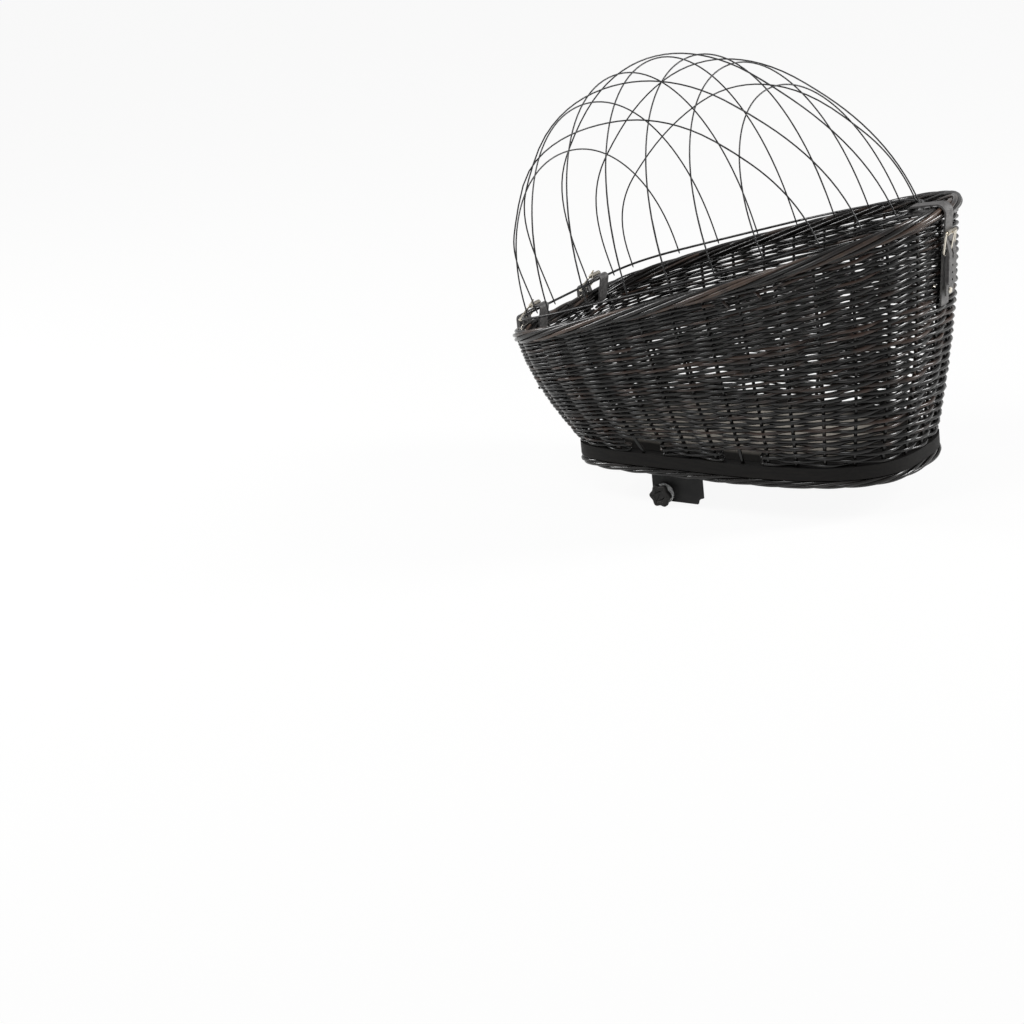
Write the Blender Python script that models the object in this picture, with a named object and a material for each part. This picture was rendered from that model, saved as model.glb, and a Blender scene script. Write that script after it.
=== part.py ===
"""Bicycle basket for a small dog: a willow tub on a wooden base, with a hinged dome of crossing wire
arches, three leather straps with roller buckles, and two clamp brackets for a luggage carrier.

X points to the back of the basket, Y to its right side as seen from the back, Z up. The origin is the
middle of the underside, in the plane that rests on the carrier. Lengths are metres, angles are radians.
"""

import math
from collections import namedtuple

import bmesh
import bpy
from mathutils import Matrix, Vector

for old in list(bpy.data.objects):
    bpy.data.objects.remove(old, do_unlink=True)


# Clearances that every piece shares

seat_gap = 0.0003
cut_overrun = 0.004

# Base board: plywood, square in front and rounded behind

board_thickness = 0.016
board_front = 0.190
board_back = 0.237
board_half_width = 0.125
board_middle_x = -0.024
board_front_power = 6.0
board_back_power = 2.8
rebate_depth = 0.0005
rebate_play = 0.0015

# Foot border: rods twisted round the edge below the board

foot_radius = 0.0051
foot_inset = 0.0030

# Willow wall: leans outwards from the board to the rim, and swells to both sides over each stake

stake_count = 34
wall_thickness = 0.012
wall_web = 0.0038
wall_outset = 0.0035
wall_rows = 4
wall_barrel = 0.004
slot_length = 0.040
slot_height = 0.0175
front_slot_x = -0.0965
back_slot_x = 0.032

# Rim border: rods rolled into a thick edge that rises towards the back

rim_radius = 0.008
rim_front = 0.307
rim_back = 0.222
rim_half_width = 0.185
rim_middle_x = 0.030
rim_front_power = 4.2
rim_back_power = 2.0
rim_middle_height = 0.2459
rim_tilt = math.radians(16.1)

# Base ring of the wire dome, in its own tilted plane

ring_radius = 0.0017
ring_x = -0.0687
ring_drop = 0.0119
ring_tilt = math.radians(15.1)
ring_front = 0.2069
ring_back = 0.2946
ring_half_width = 0.1539
ring_middle = 0.0033
ring_front_power = 6.0
ring_back_power = 2.0

# Wires of the dome

wire_radius = 0.0011
wire_tail = 0.005
dome_radius = 0.2479
dome_front = 0.2039
dome_back = 0.2670
dome_front_blend = math.radians(100.7)
dome_back_blend = math.radians(154.5)
dome_section_power = 2.06
arch_count = 7
arch_first = -0.1644
arch_pitch = 0.0597
arch_lean = 0.0332
arch_lean_from = 0.0334
arch_lean_reach = 0.240
runner_front_shares = (-0.554, -0.287, 0.227, 0.578, 0.786)
runner_back_shares = (-0.640, -0.435, -0.184, 0.209, 0.452)
runner_swell_share = 0.05
runner_crown_share = 0.36
runner_front_foot_share = 0.45
runner_back_foot_share = 0.33
runner_front_lean = math.radians(5.7)
runner_back_lean = math.radians(6.8)

# Leather straps and their roller buckles

strap_width = 0.018
strap_thickness = 0.0022
strap_ring_play = 0.0012
strap_rim_play = 0.0010
anchor_play = 0.0008
hinge_strap_y = 0.068
buckle_wire_radius = 0.0014
buckle_inner_width = 0.0215
buckle_height = 0.026
buckle_corner = 0.0025
roller_wall = 0.0013
roller_length = 0.0185
prong_radius = 0.0010
prong_reach = 0.003
prong_slot_play = 0.0005
strap_hole_radius = 0.0015
strap_hole_pitch = 0.0085
strap_hole_count = 3

hinge_bar_forward = 0.0162
hinge_bar_rise = 0.0070
hinge_buckle_slope = math.radians(48)
hinge_fold_drop = 0.011
hinge_tail_drop = 0.019
wall_notch_play = 0.0010

closure_bar_drop = 0.0473
closure_buckle_slope = math.radians(78)
closure_tail_drop = 0.0355
closure_fold_drop = 0.0490
closure_end_drop = 0.0614
closure_ring_fold = 0.012
rivet_drop = 0.0430
rivet_head_radius = 0.0040
rivet_head_height = 0.0018
rivet_shank_radius = 0.0015
rivet_play = 0.0003

# Carrier brackets, one on each side below the board

bracket_thickness = 0.003
bracket_y = 0.108
bracket_flange_width = 0.026
bracket_flange_front = -0.165
bracket_front = -0.100
bracket_back = -0.030
bracket_drop = 0.037
bracket_corner = 0.008
bracket_screw_xs = (-0.150, -0.050)
bracket_screw_head_radius = 0.0045
bracket_screw_head_height = 0.0022
bracket_screw_shank_radius = 0.0019
bracket_screw_length = 0.012
bracket_screw_play = 0.0003

# Star knob, its screw and the jaw that it draws against the bracket

clamp_x = -0.083
clamp_drop = 0.027
clamp_screw_radius = 0.0030
clamp_screw_play = 0.0003
clamp_rail_gap = 0.014
jaw_thickness = 0.004
jaw_length = 0.034
jaw_top = 0.003
jaw_below_screw = 0.010
jaw_corner = 0.005
nut_radius = 0.0055
nut_height = 0.005
washer_radius = 0.0075
washer_thickness = 0.0012
knob_radius = 0.0155
knob_lobe_depth = 0.0026
knob_edge = 0.0015
knob_lobes = 6
knob_height = 0.012
knob_bore_depth = 0.009

# Derived sizes

board_bottom = 2 * foot_radius + seat_gap
board_top = board_bottom + board_thickness
rebate_top = board_top - rebate_depth
wall_bottom = rebate_top + seat_gap
ring_height = rim_middle_height - ring_drop
rim_slope = math.tan(rim_tilt)
rim_centre_height = rim_middle_height - rim_radius / math.cos(rim_tilt)
wire_inset = 1.08 * (ring_radius + wire_radius + seat_gap)
roller_bore = buckle_wire_radius + seat_gap
roller_radius = roller_bore + roller_wall
strap_half = strap_thickness / 2
bar_turn = buckle_wire_radius + seat_gap + strap_half
outer_turn = bar_turn + strap_thickness + seat_gap
roller_turn = roller_radius + seat_gap + strap_half
rim_turn = rim_radius + strap_rim_play + strap_half
ring_turn = ring_radius + strap_ring_play + strap_half

Plan = namedtuple("Plan", "front back half middle front_power back_power")
board_plan = Plan(
    board_front, board_back, board_half_width, board_middle_x, board_front_power, board_back_power
)
rim_plan = Plan(rim_front, rim_back, rim_half_width, rim_middle_x, rim_front_power, rim_back_power)
ring_plan = Plan(
    ring_front, ring_back, ring_half_width, ring_middle, ring_front_power, ring_back_power
)


def grown(plan, amount):
    """The same outline with every reach longer by amount."""
    return plan._replace(
        front=plan.front + amount, back=plan.back + amount, half=plan.half + amount
    )


def plan_point(plan, turn):
    """Point of an egg-shaped outline: turn runs once round, from the back over the right side."""
    along, across = math.cos(turn), math.sin(turn)
    reach = plan.back if along > 0 else plan.front
    power = plan.back_power if along > 0 else plan.front_power
    x = plan.middle + math.copysign(reach * abs(along) ** (2 / power), along)
    y = math.copysign(plan.half * abs(across) ** (2 / power), across)
    return x, y


def plan_half(plan, x):
    """Half width of the outline at x."""
    if x < plan.middle:
        share = min((plan.middle - x) / plan.front, 1)
        return plan.half * (1 - share**plan.front_power) ** (1 / plan.front_power)
    share = min((x - plan.middle) / plan.back, 1)
    return plan.half * (1 - share**plan.back_power) ** (1 / plan.back_power)


def plan_end(plan, y, forward):
    """Where a line at y, along the length, meets the front or back of the outline."""
    share = abs(y) / plan.half
    if forward:
        return plan.middle - plan.front * (1 - share**plan.front_power) ** (1 / plan.front_power)
    return plan.middle + plan.back * (1 - share**plan.back_power) ** (1 / plan.back_power)


# Objects and materials


def material(name, colour, roughness, metallic):
    made = bpy.data.materials.new(name)
    made.use_nodes = True
    shader = made.node_tree.nodes["Principled BSDF"]
    shader.inputs["Base Color"].default_value = (*colour, 1)
    shader.inputs["Roughness"].default_value = roughness
    shader.inputs["Metallic"].default_value = metallic
    return made


finishes = {
    "willow": ((0.012, 0.011, 0.010), 0.42, 0),
    "wood": ((0.016, 0.015, 0.014), 0.70, 0),
    "wire": ((0.010, 0.010, 0.010), 0.38, 0),
    "leather": ((0.020, 0.018, 0.018), 0.55, 0),
    "nickel": ((0.62, 0.61, 0.58), 0.25, 1),
    "steel": ((0.018, 0.018, 0.018), 0.45, 0),
    "plastic": ((0.012, 0.012, 0.012), 0.50, 0),
}


def placed(name, data, finish, parent=None):
    """New object that holds the mesh or curve, with a material of its own."""
    made = bpy.data.objects.new(name, data)
    bpy.context.scene.collection.objects.link(made)
    colour, roughness, metallic = finishes[finish]
    data.materials.append(material(name, colour, roughness, metallic))
    if parent is not None:
        made.parent = parent
        made.matrix_parent_inverse = Matrix.Translation(-parent.location)
    return made


def pivot(name, place):
    """Empty on a joint's axis, which carries the pieces that turn about it."""
    made = bpy.data.objects.new(name, None)
    bpy.context.scene.collection.objects.link(made)
    made.location = place
    return made


def mesh_of(shape, name, smooth=True):
    """Finished mesh of a bmesh, with its faces turned outwards."""
    bmesh.ops.recalc_face_normals(shape, faces=shape.faces)
    data = bpy.data.meshes.new(name)
    shape.to_mesh(data)
    shape.free()
    if smooth:
        data.shade_smooth()
        data.set_sharp_from_angle(angle=math.radians(35))
    return data


def cut(target, cutter):
    """Takes the cutter's shape out of the target."""
    cutter.hide_render = True
    cutter.display_type = "WIRE"
    step = target.modifiers.new("cut", "BOOLEAN")
    step.operation = "DIFFERENCE"
    step.solver = "EXACT"
    step.object = cutter


def box_cutter(name, low, high):
    shape = bmesh.new()
    bmesh.ops.create_cube(shape, size=1)
    size = Vector(high) - Vector(low)
    bmesh.ops.scale(shape, vec=size, verts=shape.verts)
    bmesh.ops.translate(shape, vec=(Vector(low) + Vector(high)) / 2, verts=shape.verts)
    return placed(name, mesh_of(shape, name, smooth=False), "steel")


def rod_between(shape, start, end, radius, sides):
    """Adds a straight round rod to a bmesh."""
    along = Vector(end) - Vector(start)
    turn = along.to_track_quat("Z", "Y").to_matrix().to_4x4()
    middle = Matrix.Translation((Vector(start) + Vector(end)) / 2)
    bmesh.ops.create_cone(
        shape,
        cap_ends=True,
        segments=sides,
        radius1=radius,
        radius2=radius,
        depth=along.length,
        matrix=middle @ turn,
    )


def rod_cutter(name, start, end, radius, sides=16):
    shape = bmesh.new()
    rod_between(shape, start, end, radius, sides)
    return placed(name, mesh_of(shape, name), "steel")


def bent_wire(name, points, radius, finish, parent=None, closed=False, resolution=1):
    """Round wire or rod along a list of points."""
    data = bpy.data.curves.new(name, "CURVE")
    data.dimensions = "3D"
    data.bevel_depth = radius
    data.bevel_resolution = resolution
    data.use_fill_caps = not closed
    line = data.splines.new("POLY")
    line.points.add(len(points) - 1)
    for knot, point in zip(line.points, points):
        knot.co = (*point, 1)
    line.use_cyclic_u = closed
    return placed(name, data, finish, parent)


def layered(shape, rings):
    """Adds a closed solid through rings of points, each joined to the next, with its ends filled."""
    loops = [[shape.verts.new(point) for point in ring] for ring in rings]
    for lower, upper in zip(loops, loops[1:]):
        sides = zip(lower, lower[1:] + lower[:1], upper[1:] + upper[:1], upper)
        for corners in sides:
            shape.faces.new(corners)
    shape.faces.new(loops[0])
    shape.faces.new(loops[-1])


def extruded(shape, outline, shift):
    """Adds a flat outline, given as points in space, drawn out along the shift."""
    face = shape.faces.new([shape.verts.new(point) for point in outline])
    raised = bmesh.ops.extrude_face_region(shape, geom=[face])["geom"]
    corners = [item for item in raised if isinstance(item, bmesh.types.BMVert)]
    bmesh.ops.translate(shape, vec=shift, verts=corners)


def lathed(name, profile, place, axis, finish, steps, parent=None):
    """Solid turned about an axis: the profile lists radius and height, from one end to the other."""
    shape = bmesh.new()
    turn = Vector(axis).to_track_quat("Z", "Y").to_matrix()
    rim = [shape.verts.new(turn @ Vector((radius, 0, height))) for radius, height in profile]
    edges = [shape.edges.new(pair) for pair in zip(rim, rim[1:] + rim[:1])]
    bmesh.ops.spin(
        shape,
        geom=rim + edges,
        cent=(0, 0, 0),
        axis=turn @ Vector((0, 0, 1)),
        angle=math.tau,
        steps=steps,
        use_merge=True,
    )
    bmesh.ops.remove_doubles(shape, verts=shape.verts, dist=seat_gap / 100)
    loose = [edge for edge in shape.edges if not edge.link_faces]
    bmesh.ops.delete(shape, geom=loose, context="EDGES")
    bmesh.ops.translate(shape, vec=Vector(place), verts=shape.verts)
    return placed(name, mesh_of(shape, name), finish, parent)


# Base board, with a shallow rebate round its top that the wall stands in

outline_steps = 64
rib_steps = 4


def rim_height_at(x):
    """Height of the middle of the rim border at x."""
    return rim_centre_height + rim_slope * x


def board_outline(plan, height):
    turns = [math.tau * step / outline_steps for step in range(outline_steps)]
    return [(*plan_point(plan, turn), height) for turn in turns]


floor_plan = grown(board_plan, -wall_thickness - rebate_play)
shape = bmesh.new()
layered(
    shape,
    (
        board_outline(board_plan, board_bottom),
        board_outline(board_plan, rebate_top),
        board_outline(floor_plan, rebate_top),
        board_outline(floor_plan, board_top),
    ),
)
base_board = placed("base_board", mesh_of(shape, "base_board"), "wood")

# Foot border

foot_plan = grown(board_plan, -foot_inset)
foot_line = board_outline(foot_plan, foot_radius)
bent_wire("foot_border", foot_line, foot_radius, "willow", closed=True, resolution=2)


# Willow wall, with two slots on each side where the base stakes show


def wall_point(foot_turn, head_turn, rise, inwards=0):
    """Point of the wall's outer face: rise is 0 at the board and 1 below the rim border."""
    foot_x, foot_y = plan_point(grown(board_plan, -inwards), foot_turn)
    head_x, head_y = plan_point(grown(rim_plan, wall_outset - inwards), head_turn)
    head_z = rim_height_at(head_x) - rim_radius / math.cos(rim_tilt) - seat_gap
    swell = 1 + 4 * wall_barrel * rise * (1 - rise) / board_half_width
    x = (foot_x + (head_x - foot_x) * rise) * swell
    y = (foot_y + (head_y - foot_y) * rise) * swell
    return x, y, wall_bottom + (head_z - wall_bottom) * rise


def wall_face_x(height, inwards=0):
    """X of the wall's outer face, or of a layer inwards of it, at the middle of the back."""
    top = wall_point(0, 0, 1)[2]
    rise = (height - wall_bottom) / (top - wall_bottom)
    return wall_point(0, 0, rise, inwards)[0]


def even_turns(plan, count):
    """Turns that stand at even distances along the outline, the first one at the back."""
    fine = count * outline_steps
    points = [Vector(plan_point(plan, math.tau * step / fine)) for step in range(fine + 1)]
    lengths = [0]
    for before, after in zip(points, points[1:]):
        lengths.append(lengths[-1] + (after - before).length)
    turns = []
    for step, length in enumerate(lengths):
        if length >= lengths[-1] * len(turns) / count and len(turns) < count:
            turns.append(math.tau * step / fine)
    return turns


foot_turns = even_turns(board_plan, stake_count * rib_steps)
head_turns = even_turns(rim_plan, stake_count * rib_steps)


def wall_ring(side, rise):
    """Ring of the wall's outer face, for a side of -1, or inner face, for 1: rods swell over stakes."""
    ring = []
    for step, turns in enumerate(zip(foot_turns, head_turns)):
        rib = abs(math.cos(math.pi * step / rib_steps))
        half = (wall_web + (wall_thickness - wall_web) * rib) / 2
        ring.append(wall_point(*turns, rise, wall_thickness / 2 + side * half))
    return ring


shape = bmesh.new()
layers = [(-1, row / wall_rows) for row in range(wall_rows + 1)]
layers += [(1, row / wall_rows) for row in range(wall_rows, -1, -1)]
rings = [[shape.verts.new(point) for point in wall_ring(*layer)] for layer in layers]
for lower, upper in zip(rings, rings[1:] + rings[:1]):
    for corners in zip(lower, lower[1:] + lower[:1], upper[1:] + upper[:1], upper):
        shape.faces.new(corners)
bmesh.ops.triangulate(shape, faces=shape.faces)
wicker_wall = placed("wicker_wall", mesh_of(shape, "wicker_wall"), "willow")

for index, slot_x in enumerate((front_slot_x, back_slot_x)):
    low = (slot_x - slot_length / 2, -rim_half_width, wall_bottom - cut_overrun)
    high = (slot_x + slot_length / 2, rim_half_width, wall_bottom + slot_height)
    cut(wicker_wall, box_cutter(f"slot_cutter_{index}", low, high))

# Rim border

rim_line = [
    (x, y, rim_height_at(x)) for x, y, _ in board_outline(rim_plan, 0)
]
bent_wire("rim_border", rim_line, rim_radius, "willow", closed=True, resolution=2)


# Wire dome. Its own frame: u along the ring towards the back, y across, n square to the ring's plane


def from_ring(u, y, n):
    along, up = math.cos(ring_tilt), math.sin(ring_tilt)
    return Vector((ring_x + u * along - n * up, y, ring_height + u * up + n * along))


foot_ring = grown(ring_plan, -wire_inset)


def dome_reach(angle):
    """Length of the ray from the dome's centre to its middle line: 0 is forward, pi is back."""
    front = max(1 - angle / dome_front_blend, 0)
    back = max((angle - dome_back_blend) / (math.pi - dome_back_blend), 0)
    return dome_radius + (dome_front - dome_radius) * front**2 + (dome_back - dome_radius) * back**2


def dome_height(u):
    """Height of the dome's middle line above the ring plane at u."""
    low, high = math.pi / 9, math.pi * 8 / 9
    for _ in range(40):
        angle = (low + high) / 2
        if -dome_reach(angle) * math.cos(angle) < u:
            low = angle
        else:
            high = angle
    return dome_reach(angle) * math.sin(angle)


def arch_feet(place):
    """Near and far foot of the arch whose middle stands at place: the far foot is a pitch behind."""
    near = place - arch_pitch / 2
    far = place + arch_pitch / 2
    return (near, -plan_half(foot_ring, near)), (far, plan_half(foot_ring, far))


def arch_point(place, side):
    """Point of the arch at place: side runs from 1 at the near foot to -1 at the far foot."""
    (near_u, near_y), (far_u, far_y) = arch_feet(place)
    lean_share = min(max((place - arch_lean_from) / arch_lean_reach, 0), 1)
    lean = -arch_lean * lean_share
    rise = max(1 - abs(side) ** dome_section_power, 0) ** (1 / dome_section_power)
    u = place + side * (near_u - far_u) / 2 + rise * lean
    y = (near_y + far_y) / 2 + side * (near_y - far_y) / 2
    return Vector((u, y, rise * dome_height(place + lean)))


def arch_side(place, y):
    """The side value at which the arch at place crosses y."""
    (_, near_y), (_, far_y) = arch_feet(place)
    side = (y - (near_y + far_y) / 2) / ((near_y - far_y) / 2)
    return min(max(side, -0.985), 0.985)


def outside_arches(place, y, distance):
    """Point at y that lies outside the arches by distance, square to the dome."""
    nudge = arch_pitch / 50
    here = arch_point(place, arch_side(place, y))
    ahead = arch_point(place + nudge, arch_side(place + nudge, y))
    beside = arch_point(place, arch_side(place, y + nudge))
    outwards = (ahead - here).cross(beside - here).normalized()
    return here + outwards * distance


def bent(start, start_pull, end, end_pull, steps):
    """Points of one cubic curve between two places, with the pull at each end."""
    points = []
    for step in range(steps + 1):
        share = step / steps
        rest = 1 - share
        point = start * rest**3 + (start + start_pull) * (3 * rest**2 * share)
        point += (end + end_pull) * (3 * rest * share**2) + end * share**3
        points.append(point)
    return points


hinge_u = plan_end(ring_plan, hinge_strap_y, True)
hinge_place = from_ring(hinge_u, 0, 0)
grille_pivot = pivot("grille_pivot", hinge_place)

ring_steps = 96
turns = [math.tau * step / ring_steps for step in range(ring_steps)]
ring_line = [from_ring(*plan_point(ring_plan, turn), 0) for turn in turns]
bent_wire("dome_ring", ring_line, ring_radius, "wire", grille_pivot, closed=True)

arch_steps = 28
for number in range(arch_count):
    place = arch_first + number * arch_pitch
    line = []
    for step in range(arch_steps + 1):
        angle = math.pi * step / arch_steps
        side = math.copysign(abs(math.cos(angle)) ** (2 / dome_section_power), math.cos(angle))
        line.append(arch_point(place, side))
    line.insert(0, line[0] - Vector((0, 0, wire_tail)))
    line.append(line[-1] - Vector((0, 0, wire_tail)))
    points = [from_ring(*point) for point in line]
    bent_wire(f"dome_arch_{number + 1}", points, wire_radius, "wire", grille_pivot)

arch_last = arch_first + (arch_count - 1) * arch_pitch
runner_lift = 2 * wire_radius + 2 * seat_gap
for number, (front_share, back_share) in enumerate(zip(runner_front_shares, runner_back_shares)):
    front_y = front_share * ring_half_width
    back_y = back_share * ring_half_width
    crown = []
    steps = 2 * (arch_count - 1)
    for step in range(steps + 1):
        place = arch_first + (arch_last - arch_first) * step / steps
        along = (place + ring_front - ring_middle) / (ring_front + ring_back)
        swell = 1 + runner_swell_share * math.sin(math.pi * along)
        crown.append(outside_arches(place, (front_y + (back_y - front_y) * along) * swell, runner_lift))
    front_foot = Vector((plan_end(foot_ring, front_y, True), front_y, 0))
    back_foot = Vector((plan_end(foot_ring, back_y, False), back_y, 0))
    reach = (crown[0] - front_foot).length
    rise = (crown[0] - crown[1]).normalized() * reach * runner_crown_share
    stand = Vector((-math.tan(runner_front_lean), 0, 1)) * reach * runner_front_foot_share
    front_part = bent(front_foot, stand, crown[0], rise, 7)
    reach = (crown[-1] - back_foot).length
    fall = (crown[-1] - crown[-2]).normalized() * reach * runner_crown_share
    land = Vector((-math.tan(runner_back_lean), 0, 1)) * reach * runner_back_foot_share
    back_part = bent(crown[-1], fall, back_foot, land, 7)
    line = [front_foot - Vector((0, 0, wire_tail))] + front_part + crown[1:-1] + back_part
    line.append(back_foot - Vector((0, 0, wire_tail)))
    points = [from_ring(*point) for point in line]
    bent_wire(f"dome_runner_{number + 1}", points, wire_radius, "wire", grille_pivot)


# Straps: each lies like a belt round rods that are seen end on, in a plane of x and z


def belt(pulleys):
    """Line of a strap's middle past a list of (x, z, radius, turn): turn is 1 left, -1 right, 0 an end.

    The strap touches each rod in turn, with straight runs between them.
    """
    points = []
    heading = None
    for (x1, z1, r1, s1), (x2, z2, r2, s2) in zip(pulleys, pulleys[1:]):
        span = Vector((x2 - x1, z2 - z1))
        tilt = math.asin((s2 * r2 - s1 * r1) / span.length)
        angle = math.atan2(span.y, span.x) - tilt
        side = Vector((-math.sin(angle), math.cos(angle)))
        if heading is not None and s1:
            turned = (angle - heading) * s1 % math.tau
            steps = max(2, round(turned / math.radians(20)))
            for step in range(1, steps):
                part = heading + s1 * turned * step / steps
                points.append(
                    Vector((x1, z1)) - s1 * r1 * Vector((-math.sin(part), math.cos(part)))
                )
        points.append(Vector((x1, z1)) - s1 * r1 * side)
        points.append(Vector((x2, z2)) - s2 * r2 * side)
        heading = angle
    return points


def strap(name, line, y, finish="leather", parent=None):
    """Leather strip of the strap's width and thickness along a line in the x-z plane."""
    left, right = [], []
    for index, point in enumerate(line):
        before = line[max(index - 1, 0)]
        after = line[min(index + 1, len(line) - 1)]
        into = (point - before).normalized() if index else (after - point).normalized()
        out = (after - point).normalized() if index < len(line) - 1 else into
        normal = Vector((-(into + out).y, (into + out).x)).normalized()
        reach = strap_half / max(normal.dot(Vector((-into.y, into.x))), 0.5)
        left.append(point + normal * reach)
        right.append(point - normal * reach)
    outline = [(x, y - strap_width / 2, z) for x, z in left + right[::-1]]
    shape = bmesh.new()
    extruded(shape, outline, (0, strap_width, 0))
    return placed(name, mesh_of(shape, name), finish, parent)


def buckle(prefix, bar, slope, y, outwards):
    """Wire frame with a roller on its far bar and a prong hooked round its near bar.

    bar is the place of the near bar in x and z, slope is the frame's direction in that plane, and
    outwards is 1 or -1, the side of x that the prong lies on.
    """
    along = Vector((math.cos(slope), math.sin(slope)))
    half = buckle_inner_width / 2 + buckle_wire_radius
    corners = []
    for sign_y, sign_up in ((-1, -1), (1, -1), (1, 1), (-1, 1)):
        centre_y = sign_y * (half - buckle_corner)
        centre_up = buckle_height / 2 + sign_up * (buckle_height / 2 - buckle_corner)
        first = math.atan2(sign_up, sign_y) - math.pi / 4
        for step in range(4):
            angle = first + math.pi / 2 * step / 3
            up = centre_up + buckle_corner * math.sin(angle)
            across = centre_y + buckle_corner * math.cos(angle)
            corners.append((bar[0] + along.x * up, y + across, bar[1] + along.y * up))
    frame_pivot = Vector((bar[0], y, bar[1]))
    bent_wire(f"{prefix}_buckle_frame", corners, buckle_wire_radius, "nickel", closed=True)

    roller = Vector((bar[0], bar[1])) + along * buckle_height
    roller_pivot = pivot(f"{prefix}_roller_pivot", (roller.x, y, roller.y))
    profile = (
        (roller_bore, -roller_length / 2),
        (roller_radius, -roller_length / 2),
        (roller_radius, roller_length / 2),
        (roller_bore, roller_length / 2),
    )
    lathed(
        f"{prefix}_roller", profile, roller_pivot.location, (0, 1, 0), "nickel", 16, roller_pivot
    )

    prong_pivot = pivot(f"{prefix}_prong_pivot", frame_pivot)
    hook = buckle_wire_radius + seat_gap + prong_radius
    rest = roller_radius + seat_gap + prong_radius
    turn = outwards
    straight = belt(((bar[0], bar[1], hook, turn), (roller.x, roller.y, rest, turn)))
    leave = math.atan2(straight[0].y - bar[1], straight[0].x - bar[0])
    points = []
    for step in range(9):
        angle = leave - turn * math.radians(265) * (1 - step / 8)
        points.append(Vector((bar[0] + hook * math.cos(angle), bar[1] + hook * math.sin(angle))))
    heading = (straight[1] - straight[0]).normalized()
    points.append(straight[1])
    points.append(straight[1] + heading * prong_reach)
    wire = [(point.x, y, point.y) for point in points]
    bent_wire(f"{prefix}_prong", wire, prong_radius, "nickel", prong_pivot)
    return roller


def prong_slot(target, name, bar, y, inner, outer, low, high):
    """Slot in a strap for the prong: inner and outer are places in x, low and high in z, off the bar."""
    half = prong_radius + prong_slot_play
    first = (bar[0] + min(inner, outer), y - half, bar[1] + low)
    last = (bar[0] + max(inner, outer), y + half, bar[1] + high)
    cut(target, box_cutter(name, first, last))


fold_depth = bar_turn + strap_half + seat_gap
slot_low = -2 * bar_turn
slot_high = 0.55 * buckle_height

# Hinge straps at the front: each holds the ring's front wire to the rim border

rim_front_x = plan_end(rim_plan, hinge_strap_y, True)
rim_front_z = rim_height_at(rim_front_x)
hinge_bar = (rim_front_x - hinge_bar_forward, rim_front_z + hinge_bar_rise)
notch_bottom = rim_front_z - rim_turn - strap_half - wall_notch_play

for side_name, side in (("left", -1), ("right", 1)):
    y = side * hinge_strap_y
    prefix = f"hinge_{side_name}"
    roller = buckle(prefix, hinge_bar, hinge_buckle_slope, y, -1)
    line = belt(
        (
            (hinge_bar[0] - bar_turn, hinge_bar[1] - hinge_fold_drop, 0, 0),
            (*hinge_bar, bar_turn, -1),
            (rim_front_x, rim_front_z, rim_turn, 1),
            (hinge_place.x, hinge_place.z, ring_turn, 1),
            (roller.x, roller.y, roller_turn, -1),
            (*hinge_bar, outer_turn, 1),
            (hinge_bar[0] - outer_turn, hinge_bar[1] - hinge_tail_drop, 0, 0),
        )
    )
    hinge_strap = strap(f"{prefix}_strap", line, y)
    cutter = f"{prefix}_prong_cutter"
    inner, outer = 2 * fold_depth, -2 * outer_turn
    prong_slot(hinge_strap, cutter, hinge_bar, y, inner, outer, slot_low, slot_high)
    half = strap_width / 2 + wall_notch_play
    low = (rim_front_x - 2 * rim_radius, y - half, notch_bottom)
    high = (rim_front_x + 2 * rim_radius, y + half, rim_front_z)
    cut(wicker_wall, box_cutter(f"{prefix}_notch_cutter", low, high))

# Closure strap at the back: it holds the ring's back wire, passes over the rim and down into a buckle
# that a second, riveted strap holds to the wall

ring_back_place = from_ring(plan_end(ring_plan, 0, False), 0, 0)
rim_back_x = plan_end(rim_plan, 0, False)
rim_back_z = rim_height_at(rim_back_x)
anchor_out = anchor_play + strap_half
closure_bar_height = rim_back_z - closure_bar_drop
closure_bar_x = wall_face_x(closure_bar_height) + anchor_out + bar_turn
closure_bar = (closure_bar_x, closure_bar_height)
closure_roller = buckle("closure", closure_bar, closure_buckle_slope, 0, 1)


def wall_side(drop, out):
    """Place beside the back wall, below the closure's bar and out from the wall's face."""
    height = closure_bar_height - drop
    return wall_face_x(height) + out, height


fold_out = anchor_out + 2 * bar_turn
line = belt(
    (
        (*wall_side(closure_end_drop, anchor_out), 0, 0),
        (*closure_bar, bar_turn, -1),
        (*wall_side(closure_fold_drop, fold_out), 0, 0),
    )
)
anchor_strap = strap("closure_anchor_strap", line, 0)
line = belt(
    (
        (
            ring_back_place.x + closure_ring_fold,
            ring_back_place.z - ring_turn,
            0,
            0,
        ),
        (ring_back_place.x, ring_back_place.z, ring_turn, -1),
        (rim_back_x, rim_back_z, rim_turn, -1),
        (closure_roller.x, closure_roller.y, roller_turn, 1),
        (*closure_bar, outer_turn, -1),
        (*wall_side(closure_tail_drop, fold_out + strap_thickness + seat_gap), 0, 0),
    )
)
closure_strap = strap("closure_strap", line, 0, parent=grille_pivot)
cutter = "anchor_prong_cutter"
prong_slot(anchor_strap, cutter, closure_bar, 0, -fold_depth, fold_depth, slot_low, fold_depth)
cutter = "closure_prong_cutter"
prong_slot(closure_strap, cutter, closure_bar, 0, 0, 2 * outer_turn, slot_low, slot_high)
for hole in range(strap_hole_count):
    height = closure_bar_height + slot_low - (hole + 1) * strap_hole_pitch
    start = (closure_bar_x, 0, height)
    end = (closure_bar_x + 2 * outer_turn, 0, height)
    cut(closure_strap, rod_cutter(f"strap_hole_cutter_{hole}", start, end, strap_hole_radius, 12))

# Rivet through both layers of the anchor strap and the wall, clenched on a head inside

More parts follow.
